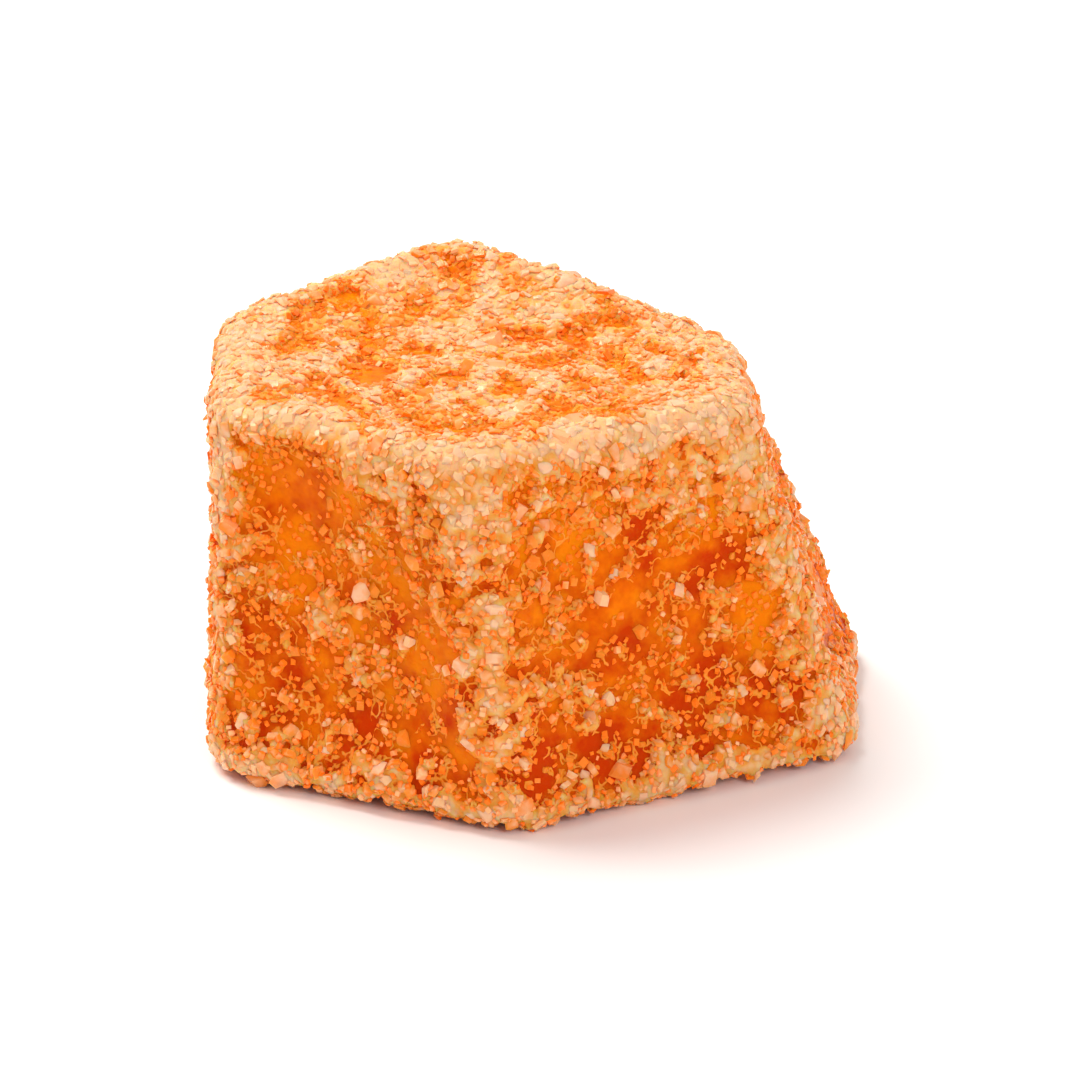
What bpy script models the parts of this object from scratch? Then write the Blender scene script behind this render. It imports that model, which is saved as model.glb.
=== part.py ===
# One fruit jelly sweet: a soft six-sided block, wider at its base, coated in coarse sugar.
# Metres, +Z up. The front corner looks along -Y, and the origin is at the bottom centre.

import math
import random

import bmesh
import bpy
from mathutils import Matrix, Vector, noise

# Jelly block: each corner is its radius and its angle, from the front corner anticlockwise
HEIGHT = 0.0115
BASE_CORNERS = ((0.0104, -92), (0.0105, -25), (0.0108, 25), (0.0106, 90), (0.0106, 150), (0.0107, 212))
TOP_CORNERS = ((0.0092, -92), (0.0089, -25), (0.0084, 28), (0.0091, 93), (0.0084, 151), (0.0084, 208))
TOP_SHIFT = Vector((-0.0016, 0.0, 0.0))
BLOCK_SHIFT = Vector((-0.0001, 0.0, 0.0))  # puts the middle of the whole sweet at the origin
CORNER_DROPS = (0.0004, 0.0007, 0.0012, 0.0, 0.0006, 0.0005)  # how far each top corner has slumped
UPRIGHT_ROUNDING = 0.0012
TOP_ROUNDING = 0.0009
BASE_ROUNDING = 0.0006
ROUNDING_STEPS = 3

# Surface of the jelly
CUTS_UP = 8  # cuts across each side, from base to top
CUTS_ALONG = 5  # cuts along each side, from corner to corner
CAP_RINGS = (0.76, 0.74, 0.68, 0.5)  # each ring of a cap, as a share of the one outside it
FACET_HOLLOW = 0.00025  # how far a side sinks between its edges
HOLLOW_REACH = 0.0035  # distance from an edge at which a side is at its deepest
LUMP_HEIGHT = 0.00012
LUMP_SPACING = 0.0022

# Sugar: the coarse crystals that stand out of the coat
CRYSTAL_LEAST = 0.00055
CRYSTAL_MOST = 0.00105
CRYSTAL_WIDTHS = (0.7, 0.95)  # narrowest and widest, as shares of the length
CRYSTAL_HEIGHTS = (0.55, 0.8)
CRYSTAL_PROUD = 0.02  # of a crystal's length, from the jelly's surface to the crystal's middle
CRYSTAL_PRESSED = 0.68  # of its height off the surface, once it is pressed on
CLOSE_SPACING = 0.00110  # between crystals where the coat is full
WIDE_SPACING = 0.0023  # between crystals where it is thin
CRYSTAL_TRIES = 9000
CRYSTALS_AT_MOST = 400

# How full the coat lies, as shares from 0 to 1
COAT_EVERYWHERE = 0.36
COAT_TOP = 0.5  # added on a level surface
COAT_EDGE = 0.5  # added at an edge
COAT_EDGE_REACH = 0.0011
COAT_PATCHES = 0.5  # how much the coat comes and goes
PATCH_SPACING = 0.0032
PATCH_START = Vector((4.0, 1.0, 7.0))
UNDERSIDE_SHARE = 0.45  # of the coat elsewhere
UNDERSIDE_SLOPE = -0.6
BARE_BELOW = 0.08  # no crystals where the coat is thinner than this
BARE_PATCH = Vector((-0.0070, -0.0067, 0.0090))
BARE_PATCH_RADIUS = 0.0020
BARE_PATCH_RIM = 0.3  # of the radius, where the coat starts to come back
BASE_LIFT = 0.00025  # the jelly stands this far up, on the sugar under it
SEED = 11

JELLY_COLOUR = (0.83, 0.25, 0.05, 1)
JELLY_ROUGHNESS = 0.55
SHARP_ABOVE = 35  # degrees between faces at which an edge shows as sharp


def clear_scene():
    for old in list(bpy.data.objects):
        bpy.data.objects.remove(old, do_unlink=True)


def polar(radius, degrees, z):
    angle = math.radians(degrees)
    return Vector((radius * math.cos(angle), radius * math.sin(angle), z))


def corner_points():
    """The block's six lower and six upper corners, before they are rounded."""
    lower = [polar(radius, angle, BASE_LIFT) + BLOCK_SHIFT for radius, angle in BASE_CORNERS]
    upper = [
        polar(radius, angle, HEIGHT - drop) + TOP_SHIFT + BLOCK_SHIFT
        for (radius, angle), drop in zip(TOP_CORNERS, CORNER_DROPS)
    ]
    return lower, upper


def sharp_edges():
    lower, upper = corner_points()
    edges = []
    for i, point in enumerate(lower):
        after = (i + 1) % len(lower)
        edges += [(point, lower[after]), (upper[i], upper[after]), (point, upper[i])]
    return edges


def distance_to_edges(point, edges):
    nearest = HEIGHT
    for start, end in edges:
        along = end - start
        t = max(0.0, min(1.0, (point - start).dot(along) / along.length_squared))
        nearest = min(nearest, (point - start - along * t).length)
    return nearest


def smooth_step(x):
    x = max(0.0, min(1.0, x))
    return x * x * (3 - 2 * x)


def block_mesh():
    """Six-sided block with rounded edges, from a cone whose ends are moved to the corners."""
    bm = bmesh.new()
    sides = len(BASE_CORNERS)
    bmesh.ops.create_cone(bm, cap_ends=True, segments=sides, radius1=1, radius2=1, depth=1)
    lower, upper = corner_points()
    by_angle = sorted(bm.verts, key=lambda v: math.atan2(v.co.x, -v.co.y) % math.tau)
    rings = [v for v in by_angle if v.co.z < 0], [v for v in by_angle if v.co.z > 0]
    for verts, corners in zip(rings, (lower, upper)):
        for v, corner in zip(verts, corners):
            v.co = corner
    upright = edges_where(bm, lambda along: abs(along.z) > HEIGHT / 2)
    round_edges(bm, upright, UPRIGHT_ROUNDING)
    upright = edges_where(bm, lambda along: abs(along.z) > HEIGHT / 2)
    bmesh.ops.subdivide_edges(bm, edges=upright, cuts=CUTS_UP, use_grid_fill=True)
    level = edges_where(bm, lambda along: along.xy.length > UPRIGHT_ROUNDING * 2)
    bmesh.ops.subdivide_edges(bm, edges=level, cuts=CUTS_ALONG, use_grid_fill=True)
    round_edges(bm, cap_of(bm, HEIGHT).edges[:], TOP_ROUNDING)
    round_edges(bm, cap_of(bm, BASE_LIFT).edges[:], BASE_ROUNDING)
    for height in (HEIGHT, BASE_LIFT):
        fill_cap(bm, cap_of(bm, height))
    bmesh.ops.recalc_face_normals(bm, faces=bm.faces)
    mesh = bpy.data.meshes.new("jelly_block")
    bm.to_mesh(mesh)
    bm.free()
    return mesh


def edges_where(bm, wanted):
    return [e for e in bm.edges if wanted(e.verts[1].co - e.verts[0].co)]


def cap_of(bm, height):
    """The large flat face nearest to a height."""
    caps = [f for f in bm.faces if len(f.verts) > 4]
    return min(caps, key=lambda f: abs(f.calc_center_median().z - height))


def round_edges(bm, edges, width):
    bmesh.ops.bevel(
        bm, geom=edges, offset=width, segments=ROUNDING_STEPS, profile=0.5, affect="EDGES", material=-1
    )


def fill_cap(bm, cap):
    """Rings drawn in towards the cap's middle, and a fan inside the last."""
    middle = cap.calc_center_median()
    for share in CAP_RINGS:
        cap = bmesh.ops.extrude_discrete_faces(bm, faces=[cap])["faces"][0]
        for v in cap.verts:
            v.co = middle + (v.co - middle) * share
    bmesh.ops.poke(bm, faces=[cap])


def applied(obj):
    """The object's mesh with its modifiers worked in."""
    graph = bpy.context.evaluated_depsgraph_get()
    mesh = bpy.data.meshes.new_from_object(obj.evaluated_get(graph))
    obj.modifiers.clear()
    old = obj.data
    obj.data = mesh
    bpy.data.meshes.remove(old)
    return mesh


def steady_faces(bm):
    """The faces as vertex numbers, in an order that is the same on every run."""
    faces = []
    for face in bm.faces:
        numbers = [v.index for v in face.verts]
        first = numbers.index(min(numbers))
        faces.append(numbers[first:] + numbers[:first])
    return sorted(faces)


def shape_surface(mesh, edges):
    """Sinks each side between its edges and gives the jelly its low lumps."""
    bm = bmesh.new()
    bm.from_mesh(mesh)
    moves = []
    for v in bm.verts:
        hollow = FACET_HOLLOW * smooth_step(distance_to_edges(v.co, edges) / HOLLOW_REACH)
        lump = LUMP_HEIGHT * noise.noise(v.co / LUMP_SPACING)
        moves.append(v.normal * (lump - hollow))
    for v, move in zip(bm.verts, moves):
        v.co += move
    bmesh.ops.triangulate(bm, faces=bm.faces)
    points = [v.co.copy() for v in bm.verts]
    faces = steady_faces(bm)
    bm.free()
    mesh.clear_geometry()
    mesh.from_pydata(points, [], faces)


def coat_share(point, normal, edges):
    """How full the sugar coat is at a point, from 0 to 1: most on the top and along the edges."""
    near_edge = math.exp(-distance_to_edges(point, edges) / COAT_EDGE_REACH)
    share = COAT_EVERYWHERE + COAT_TOP * max(0.0, normal.z) + COAT_EDGE * near_edge
    share += COAT_PATCHES * noise.noise(point / PATCH_SPACING + PATCH_START)
    if normal.z < UNDERSIDE_SLOPE:
        share *= UNDERSIDE_SHARE
    share *= smooth_step((point - BARE_PATCH).length / BARE_PATCH_RADIUS - BARE_PATCH_RIM)
    return max(0.0, min(1.0, share))


def crystal_spots(mesh, edges, draw):
    """Points on the jelly with their normals, closer together where the coat is fuller."""
    faces = list(mesh.polygons)
    weights = [f.area for f in faces]
    spots = []
    for face in draw.choices(faces, weights, k=CRYSTAL_TRIES):
        a, b, c = (mesh.vertices[i].co for i in face.vertices)
        u, w = draw.random(), draw.random()
        if u + w > 1:
            u, w = 1 - u, 1 - w
        point = a + (b - a) * u + (c - a) * w
        share = coat_share(point, face.normal, edges)
        if share < BARE_BELOW:
            continue
        spacing = WIDE_SPACING + (CLOSE_SPACING - WIDE_SPACING) * share
        if all((point - other).length > spacing for other, _ in spots):
            spots.append((point, face.normal.copy()))
        if len(spots) == CRYSTALS_AT_MOST:
            break
    return spots


def random_turn(draw):
    axis = Vector((draw.gauss(0, 1), draw.gauss(0, 1), draw.gauss(0, 1))).normalized()
    return Matrix.Rotation(draw.uniform(0, math.pi), 4, axis)


def crystal(name, point, normal, length, draw):
    """One block of sugar, turned at random and cut off where it would pass through what it stands on."""
    size = Vector((length, length * draw.uniform(*CRYSTAL_WIDTHS), length * draw.uniform(*CRYSTAL_HEIGHTS)))
    middle = point + normal * (length * CRYSTAL_PROUD)
    bm = bmesh.new()
    pressed = Matrix.Scale(CRYSTAL_PRESSED, 4, normal)
    place = Matrix.Translation(middle) @ pressed @ random_turn(draw) @ Matrix.Diagonal(size.to_4d())
    bmesh.ops.create_cube(bm, size=1, matrix=place)
    if any(v.co.z < 0 for v in bm.verts):
        geom = bm.verts[:] + bm.edges[:] + bm.faces[:]
        cut = bmesh.ops.bisect_plane(
            bm, geom=geom, plane_co=(0, 0, 0), plane_no=(0, 0, -1), clear_outer=True
        )
        rim = [g for g in cut["geom_cut"] if isinstance(g, bmesh.types.BMEdge)]
        bmesh.ops.contextual_create(bm, geom=rim)
    bmesh.ops.recalc_face_normals(bm, faces=bm.faces)
    mesh = bpy.data.meshes.new(name)
    bm.to_mesh(mesh)
    bm.free()
    return bpy.data.objects.new(name, mesh)


def fuse(obj, group):
    """Joins the crystals to the jelly, then clears them away."""
    union = obj.modifiers.new("sugar", "BOOLEAN")
    union.operation = "UNION"
    union.operand_type = "COLLECTION"
    union.collection = group
    union.solver = "EXACT"
    mesh = applied(obj)
    for old in list(group.objects):
        bpy.data.objects.remove(old, do_unlink=True)
    bpy.data.collections.remove(group)
    return mesh


def shell_of(start):
    """Every vertex joined to this one."""
    found = {start}
    waiting = [start]
    while waiting:
        for edge in waiting.pop().link_edges:
            for v in edge.verts:
                if v not in found:
                    found.add(v)
                    waiting.append(v)
    return found


def keep_outer_shell(mesh):
    """Fills sealed hollows and drops loose scraps, by keeping only the largest shell."""
    bm = bmesh.new()
    bm.from_mesh(mesh)
    left = set(bm.verts)
    largest = set()
    while left:
        shell = shell_of(next(iter(left)))
        left -= shell
        if len(shell) > len(largest):
            largest = shell
    bmesh.ops.delete(bm, geom=[v for v in bm.verts if v not in largest], context="VERTS")
    bmesh.ops.triangulate(bm, faces=bm.faces)
    bm.to_mesh(mesh)
    bm.free()


def stand_on_floor(mesh):
    """Moves the mesh up or down until its lowest point is at zero height."""
    lowest = min(v.co.z for v in mesh.vertices)
    mesh.transform(Matrix.Translation((0, 0, -lowest)))


def jelly_material():
    material = bpy.data.materials.new("sugared_orange_jelly")
    material.use_nodes = True
    shader = material.node_tree.nodes["Principled BSDF"]
    shader.inputs["Base Color"].default_value = JELLY_COLOUR
    shader.inputs["Roughness"].default_value = JELLY_ROUGHNESS
    shader.inputs["Metallic"].default_value = 0.0
    return material


def jelly_sweet():
    sweet = bpy.data.objects.new("jelly_sweet", block_mesh())
    bpy.context.scene.collection.objects.link(sweet)
    edges = sharp_edges()
    shape_surface(sweet.data, edges)
    draw = random.Random(SEED)
    group = bpy.data.collections.new("crystals")
    bpy.context.scene.collection.children.link(group)
    spots = crystal_spots(sweet.data, edges, draw)
    for i, (point, normal) in enumerate(spots):
        length = CRYSTAL_MOST + (CRYSTAL_LEAST - CRYSTAL_MOST) * i / len(spots)
        group.objects.link(crystal(f"crystal_{i:03d}", point, normal, length, draw))
    mesh = fuse(sweet, group)
    keep_outer_shell(mesh)
    stand_on_floor(mesh)
    mesh.shade_smooth()
    mesh.set_sharp_from_angle(angle=math.radians(SHARP_ABOVE))
    mesh.materials.clear()
    mesh.materials.append(jelly_material())


clear_scene()
jelly_sweet()
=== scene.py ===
import math

import bmesh
import bpy
import numpy as np
from mathutils import Matrix, Vector, noise


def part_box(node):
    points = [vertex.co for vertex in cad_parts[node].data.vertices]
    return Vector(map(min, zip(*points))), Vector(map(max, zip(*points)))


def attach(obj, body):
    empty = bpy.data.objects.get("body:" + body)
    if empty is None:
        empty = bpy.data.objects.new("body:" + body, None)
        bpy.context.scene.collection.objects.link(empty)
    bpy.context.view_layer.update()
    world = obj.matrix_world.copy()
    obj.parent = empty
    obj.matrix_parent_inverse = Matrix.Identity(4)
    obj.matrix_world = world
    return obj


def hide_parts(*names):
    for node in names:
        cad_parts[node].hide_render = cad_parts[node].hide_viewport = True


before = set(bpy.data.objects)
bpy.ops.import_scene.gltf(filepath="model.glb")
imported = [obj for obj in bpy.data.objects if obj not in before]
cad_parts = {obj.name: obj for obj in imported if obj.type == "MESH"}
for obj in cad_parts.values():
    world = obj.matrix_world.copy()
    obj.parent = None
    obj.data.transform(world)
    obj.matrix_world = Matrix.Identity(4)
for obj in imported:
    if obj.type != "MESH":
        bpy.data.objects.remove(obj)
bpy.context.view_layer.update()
sweetLow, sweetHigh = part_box("jelly_sweet")
sweetSize = sweetHigh - sweetLow
print("frame loaded, the sweet measures", [round(1000 * side, 1) for side in sweetSize], "mm")

# Jelly block, in metres. A corner is its share of baseRadius and its angle, from the front one anticlockwise
baseRadius = 0.5323 * sweetSize.y
blockTop = 0.9965 * sweetSize.z
jelly = {
    "baseCorners": ((0.963, -92), (0.972, -25), (1.0, 25), (0.981, 90), (0.981, 150), (0.991, 212)),
    "topCorners": ((0.852, -92), (0.824, -25), (0.778, 28), (0.843, 93), (0.778, 151), (0.778, 208)),
    "topShift": Vector((-0.0016, 0.0, 0.0)),
    "shift": Vector((-0.0001, 0.0, 0.0)),
    "cornerDrops": (0.0004, 0.0007, 0.0012, 0.0, 0.0006, 0.0005),  # how far each top corner has slumped
    "lift": 0.00025,  # the jelly stands on the sugar under it
    "uprightRounding": 0.0012,
    "topRounding": 0.0009,
    "baseRounding": 0.0006,
    "roundingSteps": 6,
    "grid": 0.00012,  # mesh spacing over the surface
    "smoothings": 2,
    "hollow": 0.00025,  # how far a side sinks between its edges
    "hollowReach": 0.0035,
    "lumps": ((0.0022, 0.00012), (0.0008, 0.00004)),  # spacing and height of each size of lump
}


def polar(radius, degrees, z):
    angle = math.radians(degrees)
    return Vector((radius * math.cos(angle), radius * math.sin(angle), z))


def blockCorners():
    lower = [
        polar(baseRadius * share, angle, jelly["lift"]) + jelly["shift"]
        for share, angle in jelly["baseCorners"]
    ]
    upper = [
        polar(baseRadius * share, angle, blockTop - drop) + jelly["topShift"] + jelly["shift"]
        for (share, angle), drop in zip(jelly["topCorners"], jelly["cornerDrops"])
    ]
    return lower, upper


def edgeLines():
    lower, upper = blockCorners()
    pairs = []
    for i, corner in enumerate(lower):
        after = (i + 1) % len(lower)
        pairs += [(corner, lower[after]), (upper[i], upper[after]), (corner, upper[i])]
    return np.array([[list(a), list(b)] for a, b in pairs])


def distanceToEdges(points):
    # How far each point is from the block's nearest edge
    nearest = np.full(len(points), blockTop)
    for start, end in edgeLines():
        along = end - start
        t = np.clip((points - start) @ along / (along @ along), 0, 1)
        gap = np.linalg.norm(points - start - t[:, None] * along, axis=1)
        nearest = np.minimum(nearest, gap)
    return nearest


def smoothStep(x):
    x = np.clip(x, 0, 1)
    return x * x * (3 - 2 * x)


def easeBetween(low, high, values):
    # 0 below low, 1 above high, smooth between
    return smoothStep((values - low) / (high - low))


def waves(points, spacing, shift=0.0):
    # Smooth random values, about -1 to 1
    return np.array([noise.noise(Vector(p)) for p in points / spacing + shift])


def edgesWhere(bm, wanted):
    return [e for e in bm.edges if wanted(e.verts[1].co - e.verts[0].co)]


def roundEdges(bm, edges, width):
    bmesh.ops.bevel(
        bm, geom=edges, offset=width, segments=jelly["roundingSteps"],
        profile=0.5, affect="EDGES", material=-1,
    )


def capOf(bm, height):
    # The block's flat end nearest to that height
    caps = [f for f in bm.faces if len(f.verts) > 4]
    return min(caps, key=lambda f: abs(f.calc_center_median().z - height))


def roundedBlock():
    # A six-sided prism whose corners are moved into place, then all its edges are rounded
    bm = bmesh.new()
    bmesh.ops.create_cone(bm, cap_ends=True, segments=6, radius1=1, radius2=1, depth=1)
    byAngle = sorted(bm.verts, key=lambda v: math.atan2(v.co.x, -v.co.y) % math.tau)
    rings = [v for v in byAngle if v.co.z < 0], [v for v in byAngle if v.co.z > 0]
    for ring, corners in zip(rings, blockCorners()):
        for v, corner in zip(ring, corners):
            v.co = corner
    roundEdges(bm, edgesWhere(bm, lambda along: abs(along.z) > blockTop / 2), jelly["uprightRounding"])
    roundEdges(bm, capOf(bm, blockTop).edges[:], jelly["topRounding"])
    roundEdges(bm, capOf(bm, jelly["lift"]).edges[:], jelly["baseRounding"])
    bmesh.ops.recalc_face_normals(bm, faces=bm.faces)
    return bm


def steadyOrder(points, faces):
    # Puts triangles in an order that is the same on every run: each starts at its leftmost corner, and
    # they are sorted by their middles to a hundred-millionth of a metre
    turn = np.argmin(points[faces][:, :, 0], axis=1)
    faces = np.stack([faces[np.arange(len(faces)), (turn + i) % 3] for i in range(3)], axis=1)
    return faces[np.lexsort(np.round(points[faces].mean(axis=1) * 1e8).T)]


def meshObject(name, bm):
    mesh = bpy.data.meshes.new(name)
    bm.to_mesh(mesh)
    bm.free()
    piece = bpy.data.objects.new(name, mesh)
    bpy.context.scene.collection.objects.link(piece)
    return piece


def applyModifiers(piece):
    graph = bpy.context.evaluated_depsgraph_get()
    mesh = bpy.data.meshes.new_from_object(piece.evaluated_get(graph))
    piece.modifiers.clear()
    old = piece.data
    piece.data = mesh
    bpy.data.meshes.remove(old)


def vertexArrays(mesh):
    places = np.empty(len(mesh.vertices) * 3)
    mesh.vertices.foreach_get("co", places)
    normals = np.empty(len(mesh.vertices) * 3)
    mesh.vertices.foreach_get("normal", normals)
    return places.reshape(-1, 3), normals.reshape(-1, 3)


def buildJelly():
    piece = meshObject("jellyBlock", roundedBlock())
    even = piece.modifiers.new("even grid", "REMESH")
    even.mode = "VOXEL"
    even.voxel_size = jelly["grid"]
    applyModifiers(piece)
    bm = bmesh.new()
    bm.from_mesh(piece.data)
    for _ in range(jelly["smoothings"]):
        bmesh.ops.smooth_vert(
            bm, verts=bm.verts, factor=0.5, use_axis_x=True, use_axis_y=True, use_axis_z=True
        )
    bmesh.ops.triangulate(bm, faces=bm.faces)
    bm.to_mesh(piece.data)
    bm.free()
    places, normals = vertexArrays(piece.data)
    rise = -jelly["hollow"] * easeBetween(0, jelly["hollowReach"], distanceToEdges(places))
    for spacing, height in jelly["lumps"]:
        rise += height * waves(places, spacing)
    piece.data.vertices.foreach_set("co", (places + normals * rise[:, None]).ravel())
    piece.data.update()
    piece.data.shade_smooth()
    return piece


print("shaping the jelly")
jellyBlock = buildJelly()
print("jellyBlock has", len(jellyBlock.data.polygons), "triangles")

# Where the sugar lies: the fuller the coat, the closer the grains and the paler the sugar
coat = {
    "everywhere": 0.37,
    "lowDown": -0.18,  # less of it towards the base
    "top": 0.29,
    "topSlopes": (0.31, 0.94),  # the normal's z where a surface starts to count as top, and fully does
    "edges": 0.54,
    "edgesOnTop": 0.6,  # share of that on level ground
    "edgeReach": 0.0011,
    "edgeFall": 1.5,
    "topEdge": 0.22,  # more again where the top turns down
    "topEdgeHeights": (0.65, 0.90),  # shares of the height
    "baseEdge": 0.24,  # and where the sides meet the base
    "baseEdgeHeights": (0.03, 0.16),
    # Ups and downs of the coat: their spacing, and their strength on a side, along an edge and on the top
    "broken": ((0.0034, 0.22, 0.08, 0.20), (0.00105, 0.30, 0.22, 0.80), (0.00050, 0.60, 0.44, 0.34)),
    "brokenShifts": (4.0, 11.0, 18.0),  # so that the sizes of ups and downs don't line up
    "stretch": (1.0, 0.6, 1.0),
    "underside": 0.7,
    "undersideSlope": -0.6,
    "barePatch": (-0.0070, -0.0067, 0.0090),
    "barePatchRadii": (0.0006, 0.0026),  # bare inside the first, as full as elsewhere outside the second
    "most": 1.2,
    "crustAbove": 0.42,  # the jelly is bare where the coat is thinner than this
    "solidAbove": 0.56,
}


def coatFullness(points, normals):
    # How full the coat is, 0 to about 1: most on the top and along the edges, broken up everywhere
    heights = points[:, 2] / blockTop
    onTop = easeBetween(*coat["topSlopes"], normals[:, 2])
    atEdge = np.exp(-((distanceToEdges(points) / coat["edgeReach"]) ** coat["edgeFall"]))
    full = coat["everywhere"] + coat["lowDown"] * (1 - heights) + coat["top"] * onTop
    full += coat["edges"] * atEdge * (1 - (1 - coat["edgesOnTop"]) * onTop)
    full += coat["topEdge"] * atEdge * easeBetween(*coat["topEdgeHeights"], heights)
    full += coat["baseEdge"] * atEdge * (1 - easeBetween(*coat["baseEdgeHeights"], heights))
    full[normals[:, 2] < coat["undersideSlope"]] *= coat["underside"]
    drawnOut = points * np.array(coat["stretch"])
    for (spacing, onSide, alongEdge, onFlat), shift in zip(coat["broken"], coat["brokenShifts"]):
        strength = onSide + (onFlat - onSide) * onTop
        strength += (alongEdge - strength) * atEdge
        full += strength * waves(drawnOut, spacing, shift)
    away = np.linalg.norm(points - np.array(coat["barePatch"]), axis=1)
    return np.clip(full * easeBetween(*coat["barePatchRadii"], away), 0, coat["most"])


def crustShare(full):
    # 0 on bare jelly, 1 where the sugar has run together
    return easeBetween(coat["crustAbove"], coat["solidAbove"], full)


# What every size of sugar shares
anySugar = {
    "thickOver": 0.25,  # how much fuller the coat gets from thin to thick
    "bareBelow": 0.05,
    "lengthSpread": (1.5, 2.6),  # of the beta draw: most grains are nearer their least length
    "shapes": 16,
    "widths": (0.6, 0.95),  # shares of a grain's length
    "heights": (0.5, 0.85),
    "cutDepths": (0.55, 0.85),  # where a corner is cut away, from the middle out
}


def pointsOnSkin(mesh, count, draw):
    # Random points spread evenly over the surface, with the normals there
    places, _ = vertexArrays(mesh)
    faces = np.empty(len(mesh.polygons) * 3, dtype=np.int32)
    mesh.loops.foreach_get("vertex_index", faces)
    corners = places[steadyOrder(places, faces.reshape(-1, 3))]
    across = np.cross(corners[:, 1] - corners[:, 0], corners[:, 2] - corners[:, 0])
    area = np.linalg.norm(across, axis=1)
    chosen = draw.choice(len(area), size=count, p=area / area.sum())
    u, w = draw.random(count), draw.random(count)
    over = u + w > 1
    u[over], w[over] = 1 - u[over], 1 - w[over]
    a, b, c = corners[chosen, 0], corners[chosen, 1], corners[chosen, 2]
    points = a + (b - a) * u[:, None] + (c - a) * w[:, None]
    return points, across[chosen] / area[chosen, None]


def keepApart(points, gaps, most):
    # Picks points in order, each at least its own gap from those picked before
    cell = float(gaps.max())
    filled, picked = {}, []
    around = [(dx, dy, dz) for dx in (-1, 0, 1) for dy in (-1, 0, 1) for dz in (-1, 0, 1)]
    cells = np.floor(points / cell).astype(int)
    for i, point in enumerate(points):
        x, y, z = cells[i]
        near = [j for dx, dy, dz in around for j in filled.get((x + dx, y + dy, z + dz), ())]
        if near and np.min(((points[near] - point) ** 2).sum(axis=1)) < gaps[i] ** 2:
            continue
        filled.setdefault((x, y, z), []).append(i)
        picked.append(i)
        if len(picked) == most:
            break
    return picked


def scatterGrains(skin, sugar):
    # Places one size of sugar: where each grain lies, how long it is and how full the coat is there
    draw = np.random.default_rng(sugar["seed"])
    points, normals = pointsOnSkin(skin, sugar["tries"], draw)
    full = coatFullness(points, normals)
    thick = easeBetween(sugar["thickFrom"], sugar["thickFrom"] + anySugar["thickOver"], full)
    chance = crustShare(full) * (sugar["onThin"] + (sugar["onThick"] - sugar["onThin"]) * thick)
    strayChance = sugar["stray"] * (full > anySugar["bareBelow"])
    kept = draw.random(len(points)) < np.maximum(chance, strayChance)
    points, normals, full = points[kept], normals[kept], full[kept]
    shares = draw.beta(*anySugar["lengthSpread"], len(points))
    lengths = sugar["least"] + (sugar["largest"] - sugar["least"]) * shares
    picked = keepApart(points, lengths * sugar["gap"], sugar["most"])
    return {
        "points": points[picked],
        "normals": normals[picked],
        "lengths": lengths[picked],
        "fullness": full[picked],
        "tones": draw.random(len(picked)),
        "draw": draw,
    }


def grainShapes(draw, count, cuts):
    # Blocks of sugar one unit long, each with some corners cut away: their points and triangles
    shapes = []
    for _ in range(count):
        bm = bmesh.new()
        sides = (1.0, draw.uniform(*anySugar["widths"]), draw.uniform(*anySugar["heights"]))
        bmesh.ops.create_cube(bm, size=1, matrix=Matrix.Diagonal((*sides, 1)))
        for _ in range(cuts):
            way = Vector(draw.normal(size=3)).normalized()
            reach = max(v.co.dot(way) for v in bm.verts)
            depth = reach * draw.uniform(*anySugar["cutDepths"])
            cut = bmesh.ops.bisect_plane(
                bm, geom=bm.verts[:] + bm.edges[:] + bm.faces[:], clear_outer=True,
                plane_co=way * depth, plane_no=way,
            )
            rim = [g for g in cut["geom_cut"] if isinstance(g, bmesh.types.BMEdge)]
            bmesh.ops.contextual_create(bm, geom=rim)
        bmesh.ops.recalc_face_normals(bm, faces=bm.faces)
        bmesh.ops.triangulate(bm, faces=bm.faces)
        bm.verts.index_update()
        points = np.array([v.co[:] for v in bm.verts])
        faces = np.array([[v.index for v in f.verts] for f in bm.faces])
        shapes.append((points, faces))
        bm.free()
    return shapes


def randomTurns(count, draw):
    # Turn matrices from random unit quaternions
    q = draw.normal(size=(count, 4))
    w, x, y, z = (q / np.linalg.norm(q, axis=1)[:, None]).T
    rows = (
        (1 - 2 * (y * y + z * z), 2 * (x * y - z * w), 2 * (x * z + y * w)),
        (2 * (x * y + z * w), 1 - 2 * (x * x + z * z), 2 * (y * z - x * w)),
        (2 * (x * z - y * w), 2 * (y * z + x * w), 1 - 2 * (x * x + y * y)),
    )
    return np.stack([np.stack(row, axis=1) for row in rows], axis=1)


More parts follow.
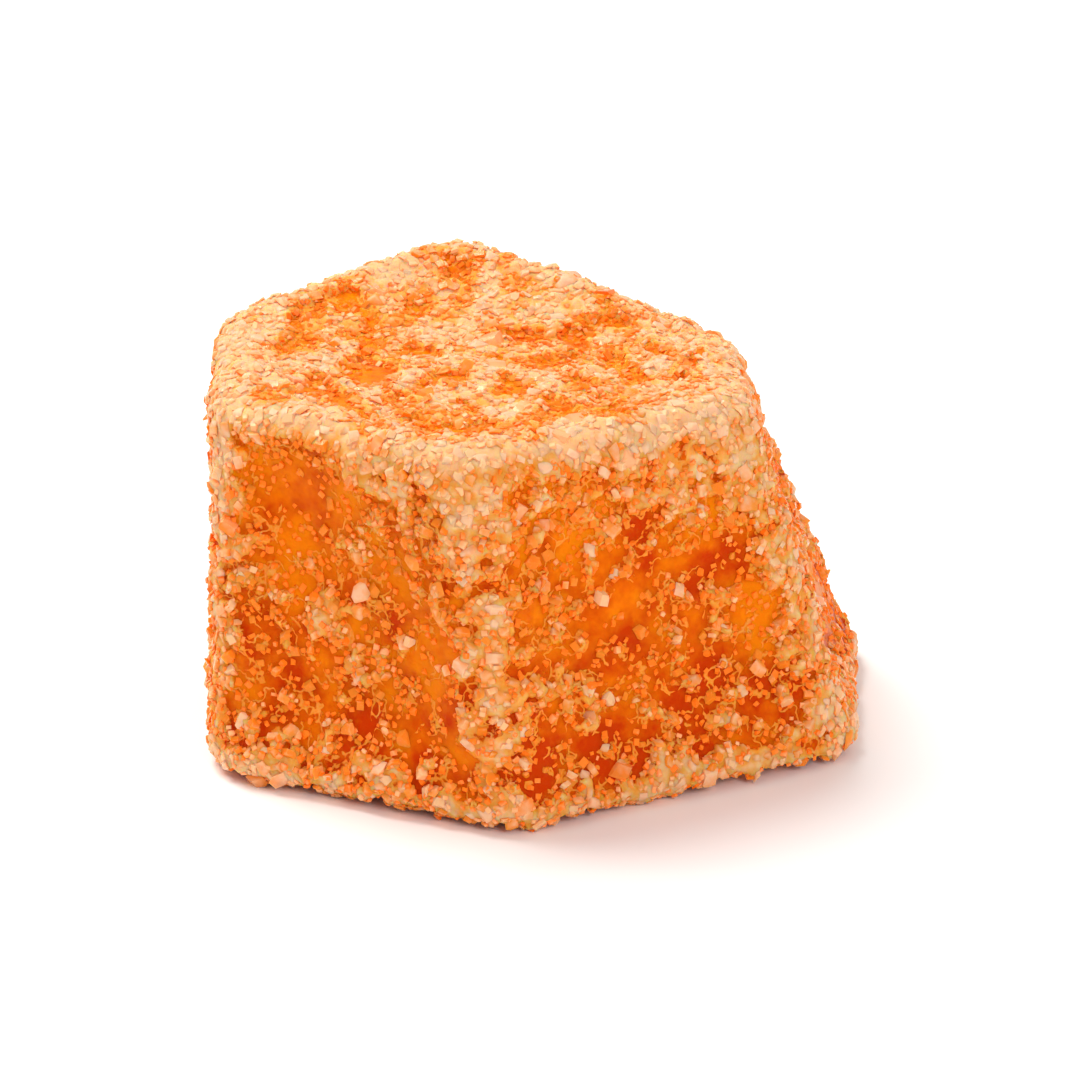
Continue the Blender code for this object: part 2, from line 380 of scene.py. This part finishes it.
def joinGrains(name, grains, sugar, smoothBelow=0):
    # One piece of sugar: the grains turned at random, pressed flatter on the jelly and joined as one mesh
    draw, count = grains["draw"], len(grains["points"])
    shapes = grainShapes(draw, anySugar["shapes"], sugar["cuts"])
    kinds = draw.integers(len(shapes), size=count)
    turned = randomTurns(count, draw)
    allPoints, allFaces, allRises, owners, first = [], [], [], [], 0
    for kind, (shape, faces) in enumerate(shapes):
        mine = np.flatnonzero(kinds == kind)
        normals = grains["normals"][mine][:, None, :]
        places = np.einsum("nij,mj->nmi", turned[mine], shape) * grains["lengths"][mine][:, None, None]
        height = (places * normals).sum(axis=2, keepdims=True)
        lift = (grains["lengths"][mine] * sugar["proud"])[:, None, None]
        places += normals * (lift - height * (1 - sugar["flat"])) + grains["points"][mine][:, None, :]
        rise = lift + height * sugar["flat"]
        allRises.append(np.clip(rise / rise.max(axis=1, keepdims=True), 0, 1).ravel())
        starts = first + np.arange(len(mine)) * len(shape)
        allPoints.append(places.reshape(-1, 3))
        allFaces.append((faces[None] + starts[:, None, None]).reshape(-1, 3))
        owners.append(np.repeat(mine, len(shape)))
        first += len(mine) * len(shape)
    points, owners = np.concatenate(allPoints), np.concatenate(owners)
    points[:, 2] = np.maximum(points[:, 2], 0)  # nothing below the floor
    mesh = bpy.data.meshes.new(name)
    mesh.from_pydata(points, [], np.concatenate(allFaces))
    if smoothBelow:
        mesh.shade_smooth()
        mesh.set_sharp_from_angle(angle=math.radians(smoothBelow))
    marks = {
        "tone": grains["tones"][owners],
        "fullness": grains["fullness"][owners],
        "rise": np.concatenate(allRises),  # 0 where a grain meets the jelly, 1 at its top
    }
    for label, values in marks.items():
        layer = mesh.attributes.new(label, "FLOAT", "POINT")
        layer.data.foreach_set("value", values)
    piece = bpy.data.objects.new(name, mesh)
    bpy.context.scene.collection.objects.link(piece)
    print(name, "has", count, "grains and", len(mesh.polygons), "triangles")
    return piece


# Where grains lie close, the sugar has run together into a crust of low round lumps
crust = {
    "height": 0.00025,
    "lumpSpacing": 0.00050,
    "lumpReach": 0.75,  # of the spacing, from a lump's top to the hollow beside it
    "lumpShare": 0.55,  # of the height, from the hollows between lumps to their tops
}


def roundLumps(points):
    # 1 on the top of each lump, falling to 0 in the hollows between them
    nearest = [noise.voronoi(Vector(p))[0][0] for p in points / crust["lumpSpacing"]]
    return 1 - easeBetween(0, crust["lumpReach"], np.array(nearest))


def raiseCrust(piece):
    # Lifts the jelly's surface where the crust lies, and marks how full the coat is and where lumps rise
    places, normals = vertexArrays(piece.data)
    full = coatFullness(places, normals)
    share = crustShare(full)
    lumps = np.zeros(len(places))
    covered = share > 0
    lumps[covered] = roundLumps(places[covered])
    rise = crust["height"] * share * (1 - crust["lumpShare"] * (1 - lumps))
    moved = places + normals * rise[:, None]
    moved[:, 2] = np.maximum(moved[:, 2], 0)
    piece.data.vertices.foreach_set("co", moved.ravel())
    piece.data.update()
    for label, values in (("fullness", full), ("rise", lumps)):
        layer = piece.data.attributes.new(label, "FLOAT", "POINT")
        layer.data.foreach_set("value", values)


raiseCrust(jellyBlock)
print("crust raised")

# Sugar by size, in metres. gap, proud and flat are shares of a grain's length: from its middle to the
# next grain, from the jelly to its middle, and its height once pressed on. onThin, onThick and stray are
# the chances of a grain where the coat is thin, where it is full and on bare jelly
cakedSugar = {
    "tries": 40000, "most": 1700, "least": 0.00024, "largest": 0.00062, "gap": 1.15,
    "onThin": 0.0, "onThick": 0.5, "thickFrom": 0.52, "stray": 0.0,
    "cuts": 6, "proud": -0.04, "flat": 0.42, "seed": 14,
}
coarseSugar = {
    "tries": 3000, "most": 60, "least": 0.00045, "largest": 0.00075, "gap": 2.4,
    "onThin": 0.6, "onThick": 0.6, "thickFrom": 0.5, "stray": 0.03,
    "cuts": 4, "proud": -0.05, "flat": 0.5, "seed": 3,
}
middleSugar = {
    "tries": 30000, "most": 2600, "least": 0.00020, "largest": 0.00045, "gap": 1.3,
    "onThin": 0.50, "onThick": 0.40, "thickFrom": 0.6, "stray": 0.06,
    "cuts": 3, "proud": 0.0, "flat": 0.5, "seed": 5,
}
fineSugar = {
    "tries": 80000, "most": 10000, "least": 0.00011, "largest": 0.00026, "gap": 1.15,
    "onThin": 0.9, "onThick": 0.15, "thickFrom": 0.6, "stray": 0.16,
    "cuts": 1, "proud": 0.05, "flat": 0.65, "seed": 8,
}
print("spreading the sugar")
caked = joinGrains("cakedSugar", scatterGrains(jellyBlock.data, cakedSugar), cakedSugar, smoothBelow=65)
coarse = joinGrains("coarseSugar", scatterGrains(jellyBlock.data, coarseSugar), coarseSugar)
middle = joinGrains("middleSugar", scatterGrains(jellyBlock.data, middleSugar), middleSugar)
fine = joinGrains("fineSugar", scatterGrains(jellyBlock.data, fineSugar), fineSugar)


def setInputs(node, values):
    for key, value in values.items():
        node.inputs[key].default_value = value


def addNode(tree, kind, values=None, **settings):
    node = tree.nodes.new("ShaderNode" + kind)
    for key, value in settings.items():
        setattr(node, key, value)
    setInputs(node, values or {})
    return node


def newMaterial(name):
    material = bpy.data.materials.new(name)
    material.use_nodes = True
    return material, material.node_tree, material.node_tree.links


def colourRamp(tree, stops):
    ramp = addNode(tree, "ValToRGB")
    marks = ramp.color_ramp.elements
    for i, (place, colour) in enumerate(stops):
        mark = marks[i] if i < 2 else marks.new(place)
        mark.position = place
        mark.color = (*colour, 1)
    return ramp


# Small cells and grain that break up a mask, both brought to about 0 on average
breakUp = {
    "cellMiddle": 0.42,
    "grain": {"Detail": 3.0, "Roughness": 0.65},
    "grainSpread": {1: 1.5, 2: -0.75},  # times, plus
}


def buildBreakUp():
    # Breaks up a mask at a finer scale than the mesh: the value goes up and down, and its height follows it
    tree = bpy.data.node_groups.new("fineBreakUp", "ShaderNodeTree")
    for name, start in (("Value", 0.5), ("Scale", 4000.0), ("Strength", 0.5)):
        socket = tree.interface.new_socket(name, in_out="INPUT", socket_type="NodeSocketFloat")
        socket.default_value = start
    for name in ("Value", "Height"):
        tree.interface.new_socket(name, in_out="OUTPUT", socket_type="NodeSocketFloat")
    given = tree.nodes.new("NodeGroupInput")
    result = tree.nodes.new("NodeGroupOutput")
    place = addNode(tree, "TexCoord")
    specks = addNode(tree, "TexVoronoi", {"Randomness": 1.0})
    grain = addNode(tree, "TexNoise", breakUp["grain"])
    cells = addNode(tree, "Math", {0: breakUp["cellMiddle"]}, operation="SUBTRACT")
    centred = addNode(tree, "Math", breakUp["grainSpread"], operation="MULTIPLY_ADD")
    both = addNode(tree, "Math", operation="ADD")
    uneven = addNode(tree, "Math", operation="MULTIPLY_ADD")
    links = tree.links
    links.new(place.outputs["Object"], specks.inputs["Vector"])
    links.new(place.outputs["Object"], grain.inputs["Vector"])
    links.new(given.outputs["Scale"], specks.inputs["Scale"])
    links.new(given.outputs["Scale"], grain.inputs["Scale"])
    links.new(specks.outputs["Distance"], cells.inputs[1])
    links.new(grain.outputs["Fac"], centred.inputs[0])
    links.new(cells.outputs[0], both.inputs[0])
    links.new(centred.outputs[0], both.inputs[1])
    links.new(both.outputs[0], uneven.inputs[0])
    links.new(given.outputs["Strength"], uneven.inputs[1])
    links.new(given.outputs["Value"], uneven.inputs[2])
    links.new(uneven.outputs[0], result.inputs["Value"])
    links.new(both.outputs[0], result.inputs["Height"])
    return tree


fineBreakUp = buildBreakUp()


def addGroup(tree, group, values):
    node = tree.nodes.new("ShaderNodeGroup")
    node.node_tree = group
    setInputs(node, values)
    return node


# Orange jelly, a deep orange where it is bare, with painted shade that darkens it towards the base and
# lightens it towards the top, with wet sugar and threads of syrup on it
jellyLook = {
    "body": ((0.38, (0.60, 0.040, 0.0001)), (0.62, (0.92, 0.210, 0.0010))),
    "paintedShadeBelow": 0.09,  # painted shade: the ramp's shift from the middle of the height to the base, darker below and lighter above
    "cloudsPerMetre": 560,
    "cloudDetail": {"Detail": 4.0, "Roughness": 0.6},
    "crust": (
        (0.42, (0.98, 0.180, 0.006)), (0.54, (1.0, 0.280, 0.030)),
        (0.78, (0.98, 0.37, 0.085)), (1.0, (0.97, 0.47, 0.22)),
    ),
    "crustBetween": (0.40, 0.50),  # how full the coat is where crust takes over from jelly
    "palerOnLumps": 0.30,
    "breakUp": {"Scale": 4600.0, "Strength": 0.32},
    "threadsPerMetre": 1800,
    "threadWidth": 0.12,
    "threadFullness": 0.63,
    "threadsBetween": (0.04, 0.22),  # how full the coat is where threads start and where they are all there
    "relief": {"Strength": 0.8, "Distance": 0.00009},
    "pebbling": 0.22,  # of that relief, all over
    "roughness": (0.38, 0.6),  # bare jelly, crust
    "shader": {
        "Subsurface Weight": 0.8, "Subsurface Radius": (1.0, 0.25, 0.06), "Subsurface Scale": 0.0010,
        "IOR": 1.3, "Specular IOR Level": 0.2, "Specular Tint": (1.0, 0.62, 0.25, 1),
    },
}


def jellyBody(tree, place):
    # Colour of the bare jelly: cloudy, with painted shade that makes it darker towards the base and lighter
    # towards the top
    links = tree.links
    clouds = addNode(tree, "TexNoise", {"Scale": jellyLook["cloudsPerMetre"], **jellyLook["cloudDetail"]})
    body = colourRamp(tree, jellyLook["body"])
    height = addNode(tree, "SeparateXYZ")
    # Painted shade: the colour ramp is shifted darker towards the base and lighter towards the top
    shift = jellyLook["paintedShadeBelow"]
    paintedShade = addNode(tree, "MapRange", {"From Max": blockTop, "To Min": -shift, "To Max": shift})
    shaded = addNode(tree, "Math", operation="ADD")
    links.new(place, clouds.inputs["Vector"])
    links.new(place, height.inputs["Vector"])
    links.new(height.outputs["Z"], paintedShade.inputs["Value"])
    links.new(clouds.outputs["Fac"], shaded.inputs[0])
    links.new(paintedShade.outputs["Result"], shaded.inputs[1])
    links.new(shaded.outputs[0], body.inputs["Fac"])
    return body.outputs["Color"]


def syrupThreads(tree, place, fullness):
    # Thin winding lines along the noise's middle value, wherever a little coat lies
    links = tree.links
    wander = addNode(tree, "TexNoise", {"Scale": jellyLook["threadsPerMetre"], "Detail": 2.0})
    fromMiddle = addNode(tree, "Math", {1: 0.5}, operation="SUBTRACT")
    away = addNode(tree, "Math", operation="ABSOLUTE")
    thread = addNode(tree, "MapRange", {"From Max": jellyLook["threadWidth"], "To Max": 0.0})
    thread.inputs["To Min"].default_value = jellyLook["threadFullness"]
    start, end = jellyLook["threadsBetween"]
    anyCoat = addNode(tree, "MapRange", {"From Min": start, "From Max": end})
    kept = addNode(tree, "Math", operation="MULTIPLY")
    links.new(place, wander.inputs["Vector"])
    links.new(wander.outputs["Fac"], fromMiddle.inputs[0])
    links.new(fromMiddle.outputs[0], away.inputs[0])
    links.new(away.outputs[0], thread.inputs["Value"])
    links.new(fullness, anyCoat.inputs["Value"])
    links.new(thread.outputs["Result"], kept.inputs[0])
    links.new(anyCoat.outputs["Result"], kept.inputs[1])
    return kept.outputs[0]


def jellyMaterial():
    material, tree, links = newMaterial("orangeJelly")
    shader = tree.nodes["Principled BSDF"]
    place = addNode(tree, "TexCoord").outputs["Object"]
    fullness = addNode(tree, "Attribute", attribute_name="fullness").outputs["Fac"]
    body = jellyBody(tree, place)
    threads = syrupThreads(tree, place, fullness)
    # Crust or a thread shows over the jelly where this value is high enough
    broken = addGroup(tree, fineBreakUp, jellyLook["breakUp"])
    withThreads = addNode(tree, "Math", operation="MAXIMUM")
    start, end = jellyLook["crustBetween"]
    mask = addNode(tree, "MapRange", {"From Min": start, "From Max": end}, interpolation_type="SMOOTHSTEP")
    crustColour = colourRamp(tree, jellyLook["crust"])
    colour = addNode(tree, "Mix", data_type="RGBA")
    low, high = jellyLook["roughness"]
    rough = addNode(tree, "MapRange", {"To Min": low, "To Max": high})
    pebbled = addNode(tree, "Math", {1: jellyLook["pebbling"]}, operation="MULTIPLY_ADD")
    relief = addNode(tree, "Bump", jellyLook["relief"])
    rise = addNode(tree, "Attribute", attribute_name="rise")
    onLumps = addNode(tree, "Math", {1: jellyLook["palerOnLumps"]}, operation="MULTIPLY_ADD")
    links.new(fullness, broken.inputs["Value"])
    links.new(broken.outputs["Value"], withThreads.inputs[0])
    links.new(threads, withThreads.inputs[1])
    links.new(withThreads.outputs[0], mask.inputs["Value"])
    links.new(rise.outputs["Fac"], onLumps.inputs[0])
    links.new(withThreads.outputs[0], onLumps.inputs[2])
    links.new(onLumps.outputs[0], crustColour.inputs["Fac"])
    links.new(mask.outputs["Result"], colour.inputs["Factor"])
    links.new(body, colour.inputs["A"])
    links.new(crustColour.outputs["Color"], colour.inputs["B"])
    links.new(colour.outputs["Result"], shader.inputs["Base Color"])
    links.new(mask.outputs["Result"], rough.inputs["Value"])
    links.new(rough.outputs["Result"], shader.inputs["Roughness"])
    links.new(broken.outputs["Height"], pebbled.inputs[0])
    links.new(mask.outputs["Result"], pebbled.inputs[2])
    links.new(pebbled.outputs[0], relief.inputs["Height"])
    links.new(relief.outputs["Normal"], shader.inputs["Normal"])
    setInputs(shader, jellyLook["shader"])
    return material


# Sugar takes up the jelly's orange where it lies thin and low, and is pale where it is full and stands proud
sugarColour = {
    "fewPale": 6.0,  # only a few grains are much paler than the rest
    "palerByTone": 0.7,
    "palerByRise": 0.40,
    "clouded": {"Scale": 6000.0, "Strength": 0.22},
    "fullest": 1.3,
    "rampFrom": 0.66,  # share of that where the sugar starts to pale
    "pits": {"Value": 0.5, "Scale": 7000.0, "Strength": 1.0},
    "relief": {"Strength": 0.35, "Distance": 0.00002},
    "shadowTint": (0.95, 0.75, 0.5, 1),  # what a clear crystal lets through
    "shader": {
        "IOR": 1.5, "Specular IOR Level": 0.3, "Specular Tint": (1.0, 0.85, 0.62, 1),
        "Subsurface Radius": (1.0, 0.5, 0.25), "Subsurface Scale": 0.0003,
    },
}
# Colours of thin and of full sugar, shares of clear and soft sugar, and roughness from smooth to pitted
sugarLooks = {
    "pressedCakes": {
        "thin": (1.0, 0.27, 0.030), "full": (0.97, 0.49, 0.29),
        "clear": 0.0, "soft": 0.6, "rough": (0.3, 0.55),
    },
    "clearCrystals": {
        "thin": (1.0, 0.30, 0.035), "full": (1.0, 0.52, 0.25),
        "clear": 0.3, "soft": 0.0, "rough": (0.08, 0.22),
    },
    "frostedSugar": {
        "thin": (1.0, 0.225, 0.012), "full": (0.97, 0.50, 0.26),
        "clear": 0.0, "soft": 0.6, "rough": (0.12, 0.35),
    },
    "fineSugarGrains": {
        "thin": (1.0, 0.205, 0.008), "full": (0.97, 0.48, 0.21),
        "clear": 0.0, "soft": 0.0, "rough": (0.25, 0.5),
    },
}


def sugarMaterial(name):
    look = sugarLooks[name]
    material, tree, links = newMaterial(name)
    shader = tree.nodes["Principled BSDF"]
    tone = addNode(tree, "Attribute", attribute_name="tone")
    few = addNode(tree, "Math", {1: sugarColour["fewPale"]}, operation="POWER")
    fullness = addNode(tree, "Attribute", attribute_name="fullness")
    rise = addNode(tree, "Attribute", attribute_name="rise")
    pale = addNode(tree, "Math", {1: sugarColour["palerByTone"]}, operation="MULTIPLY_ADD")
    higher = addNode(tree, "Math", {1: sugarColour["palerByRise"]}, operation="MULTIPLY_ADD")
    clouded = addGroup(tree, fineBreakUp, sugarColour["clouded"])
    stretch = addNode(tree, "MapRange", {"From Max": sugarColour["fullest"]})
    colour = colourRamp(tree, ((sugarColour["rampFrom"], look["thin"]), (1.0, look["full"])))
    links.new(tone.outputs["Fac"], few.inputs[0])
    links.new(few.outputs[0], pale.inputs[0])
    links.new(fullness.outputs["Fac"], pale.inputs[2])
    links.new(rise.outputs["Fac"], higher.inputs[0])
    links.new(pale.outputs[0], higher.inputs[2])
    links.new(higher.outputs[0], clouded.inputs["Value"])
    links.new(clouded.outputs["Value"], stretch.inputs["Value"])
    links.new(stretch.outputs["Result"], colour.inputs["Fac"])
    links.new(colour.outputs["Color"], shader.inputs["Base Color"])
    pits = addGroup(tree, fineBreakUp, sugarColour["pits"])
    low, high = look["rough"]
    rough = addNode(tree, "MapRange", {"To Min": low, "To Max": high})
    relief = addNode(tree, "Bump", sugarColour["relief"])
    links.new(pits.outputs["Value"], rough.inputs["Value"])
    links.new(rough.outputs["Result"], shader.inputs["Roughness"])
    links.new(pits.outputs["Height"], relief.inputs["Height"])
    links.new(relief.outputs["Normal"], shader.inputs["Normal"])
    setInputs(shader, sugarColour["shader"])
    setInputs(shader, {"Transmission Weight": look["clear"], "Subsurface Weight": look["soft"]})
    if look["clear"]:  # light passes through clear crystals, so their shadows are weak
        letThrough = addNode(tree, "BsdfTransparent", {"Color": sugarColour["shadowTint"]})
        path = addNode(tree, "LightPath")
        mix = addNode(tree, "MixShader")
        links.new(path.outputs["Is Shadow Ray"], mix.inputs[0])
        links.new(shader.outputs[0], mix.inputs[1])
        links.new(letThrough.outputs[0], mix.inputs[2])
        links.new(mix.outputs[0], tree.nodes["Material Output"].inputs["Surface"])
    return material


def finishPiece(piece, material):
    piece.data.materials.clear()
    piece.data.materials.append(material)
    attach(piece, "root")


finishPiece(jellyBlock, jellyMaterial())
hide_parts("jelly_sweet")
finishPiece(caked, sugarMaterial("pressedCakes"))
finishPiece(coarse, sugarMaterial("clearCrystals"))
finishPiece(middle, sugarMaterial("frostedSugar"))
finishPiece(fine, sugarMaterial("fineSugarGrains"))
print("materials ready")

# Studio: pale floor, a large soft lamp above and behind on the left, a weak one in front
studio = {
    "floorSize": 3.0,
    "floorLook": {"Base Color": (0.96, 0.95, 0.94, 1), "Roughness": 0.6},
    "sky": {"Color": (1, 1, 1, 1), "Strength": 0.52},
    "lamps": (  # place, size, power and colour
        ("keyLamp", (-0.16, 0.14, 0.34), 0.26, 1.62, (1.0, 0.98, 0.95)),
        ("frontLamp", (0.16, -0.30, 0.20), 0.20, 0.60, (1.0, 0.98, 0.96)),
    ),
    "cameraElevation": 21,
    "cameraDistance": 0.40,
    "nearestSeen": 0.01,
    "lens": 458,
    "aim": Vector((0.0003, 0.0, 0.0052)),
}


def buildStudio():
    bm = bmesh.new()
    bmesh.ops.create_grid(bm, x_segments=2, y_segments=2, size=studio["floorSize"] / 2)
    floor = meshObject("floor", bm)
    material, tree, _ = newMaterial("paleFloor")
    setInputs(tree.nodes["Principled BSDF"], studio["floorLook"])
    floor.data.materials.append(material)
    for name, place, size, power, colour in studio["lamps"]:
        lamp = bpy.data.lights.new(name, "AREA")
        lamp.shape = "DISK"
        lamp.size = size
        lamp.energy = power
        lamp.color = colour
        holder = bpy.data.objects.new(name, lamp)
        holder.location = place
        holder.rotation_euler = (studio["aim"] - Vector(place)).to_track_quat("-Z", "Y").to_euler()
        bpy.context.scene.collection.objects.link(holder)
    world = bpy.data.worlds.new("studioSky")
    world.use_nodes = True
    setInputs(world.node_tree.nodes["Background"], studio["sky"])
    bpy.context.scene.world = world


def placeCamera():
    rise = math.radians(studio["cameraElevation"])
    back = Vector((0, -math.cos(rise), math.sin(rise)))
    camera = bpy.data.cameras.new("camera")
    camera.lens = studio["lens"]
    camera.clip_start = studio["nearestSeen"]
    holder = bpy.data.objects.new("camera", camera)
    holder.location = studio["aim"] + back * studio["cameraDistance"]
    holder.rotation_euler = (-back).to_track_quat("-Z", "Y").to_euler()
    bpy.context.scene.collection.objects.link(holder)
    bpy.context.scene.camera = holder


buildStudio()
placeCamera()
bpy.context.scene.view_settings.view_transform = "Standard"
print("studio ready")

bpy.context.view_layer.update()
